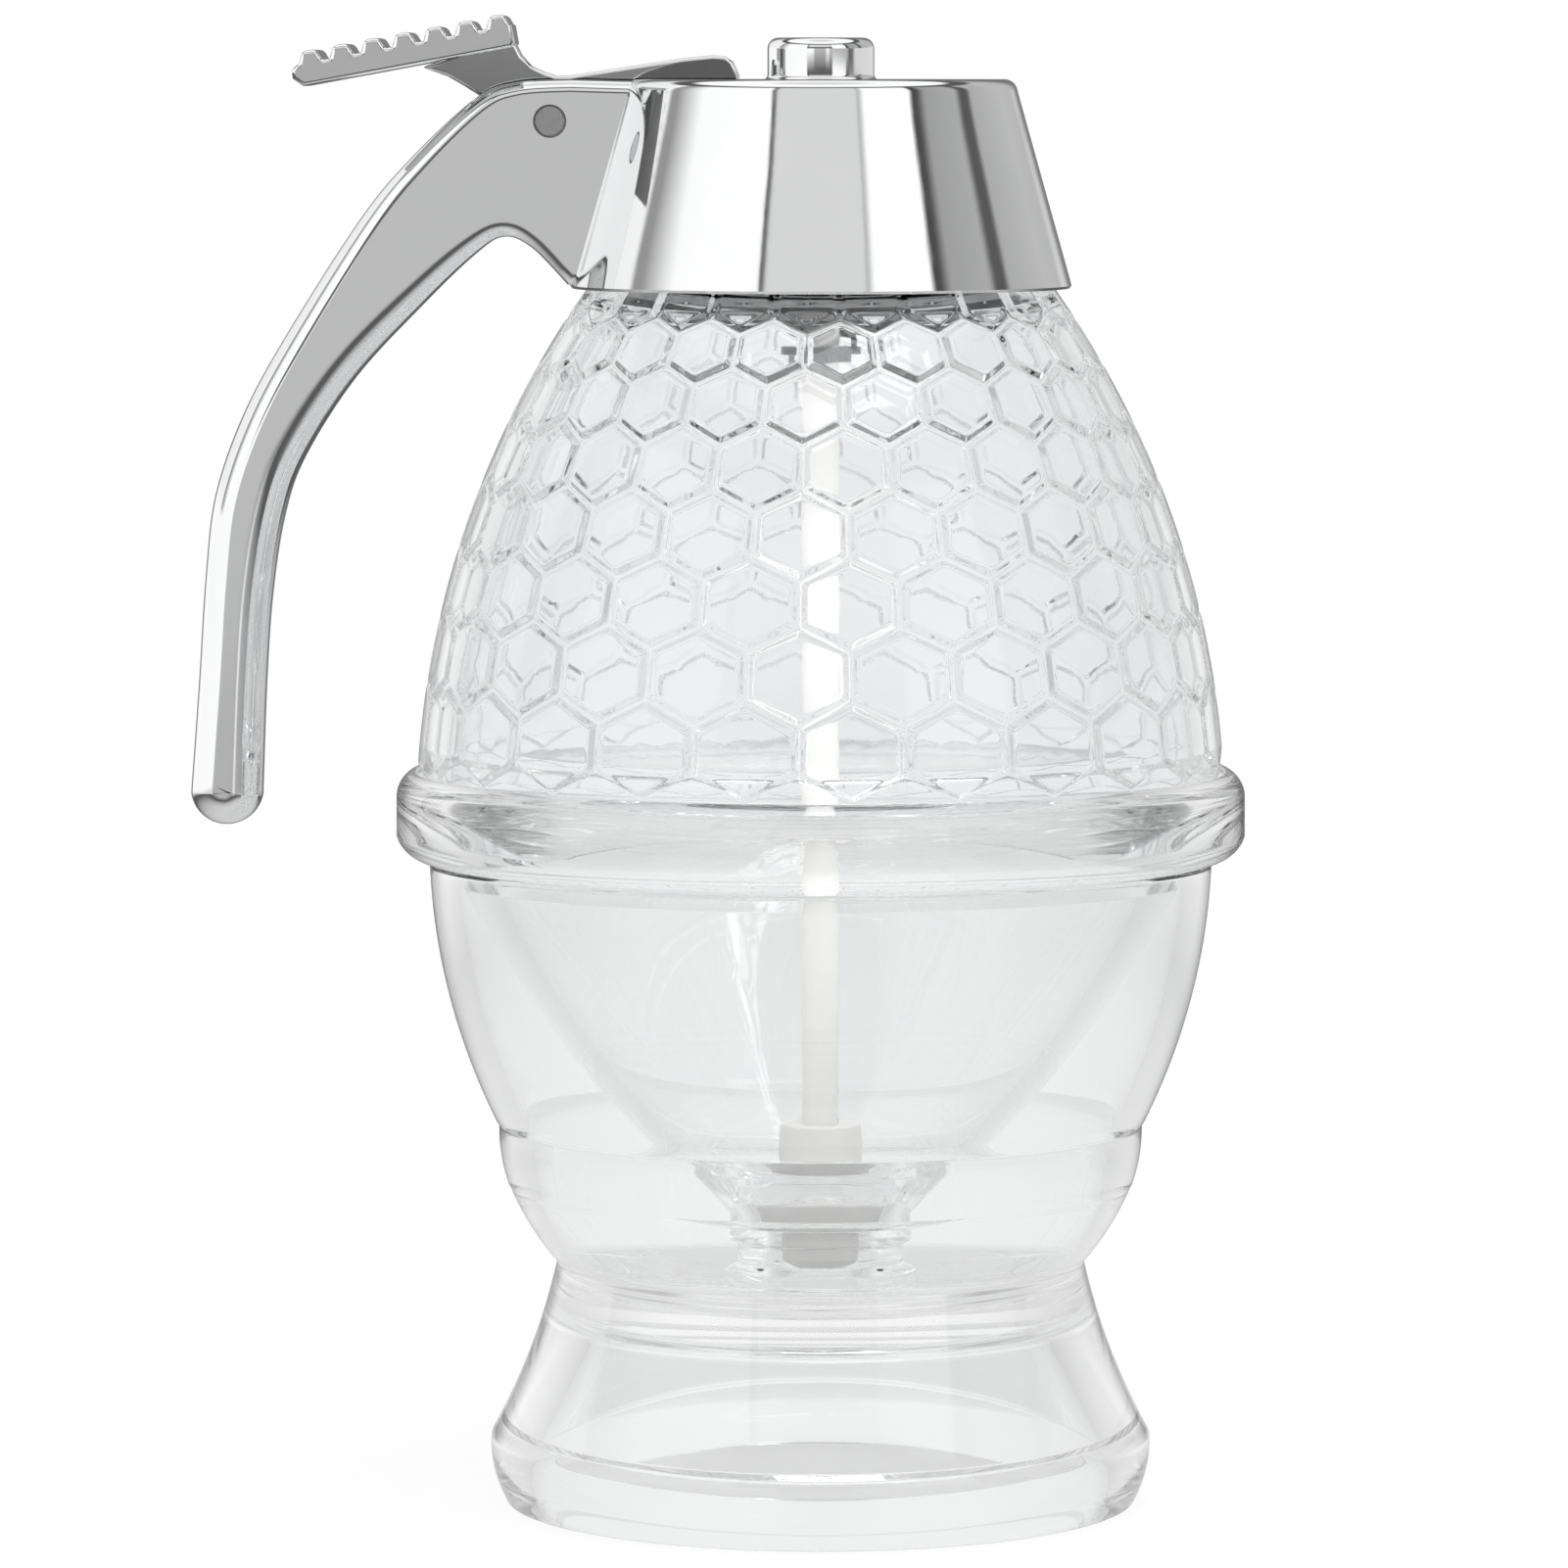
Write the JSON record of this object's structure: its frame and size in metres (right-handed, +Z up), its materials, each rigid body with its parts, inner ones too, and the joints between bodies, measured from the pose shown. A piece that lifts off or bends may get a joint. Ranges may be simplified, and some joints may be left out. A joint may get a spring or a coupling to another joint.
{
  "type": "honey dispenser",
  "caption": "Clear beehive-shaped honey dispenser with a thumb lever on its chromed cap and side handle, seated in a clear waisted drip stand.",
  "frame": {"origin": "centre of the stand's foot, on the surface it stands on", "axes": "+Z up along the dispenser's axis; the handle and the thumb pad point to -X"},
  "size_m": [0.115, 0.0926, 0.1625],
  "materials": {
    "clear_stand": "clear, polished",
    "clear_hive": "clear, polished",
    "gasket": "soft silicone",
    "chrome": "polished chrome plate",
    "liner": "moulded satin",
    "pin_steel": "turned",
    "spring_steel": "drawn wire",
    "white_plastic": "moulded satin"
  },
  "bodies": {
    "stand": {"stand": "clear_stand"},
    "dispenser": {"funnel_bowl": "clear_hive", "hive_dome": "clear_hive"},
    "seal": {"neck_gasket": "gasket"},
    "cap": {"cap": "chrome", "handle": "chrome", "inner_cap": "liner", "lever_pin": "pin_steel", "return_spring": "spring_steel"},
    "lever": {"thumb_lever": "chrome"},
    "plunger": {"plunger_head": "white_plastic", "plunger_rod": "white_plastic", "spring_washer": "spring_steel", "rod_clip": "spring_steel", "stopper": "white_plastic"}
  },
  "joints": [
    {"name": "lift_off", "type": "slide", "parent": "stand", "child": "dispenser", "axis": [0, 0, 1], "range_m": [0, 0.06]},
    {"name": "cap_lift", "type": "slide", "parent": "dispenser", "child": "seal", "axis": [0, 0, 1], "range_m": [0, 0.125]},
    {"name": "cap_turn", "type": "hinge", "parent": "seal", "child": "cap", "pos_m": [0, 0, 0.14], "axis": [0, 0, 1], "range_deg": [0, 180]},
    {"name": "lever_press", "type": "hinge", "parent": "cap", "child": "lever", "pos_m": [-0.0293, 0, 0.151], "axis": [0, -1, 0], "range_deg": [0, 9], "stiffness_Nm_per_rad": 0.43, "springref_deg": -11.46},
    {"name": "plunger_lift", "type": "slide", "parent": "cap", "child": "plunger", "axis": [0, 0, 1], "range_m": [0, 0.0047], "deforming": ["return_spring"]}
  ],
  "couplings": [
    {"joint": "plunger_lift", "follows": "lever_press", "m_per_rad": 0.0293}
  ]
}
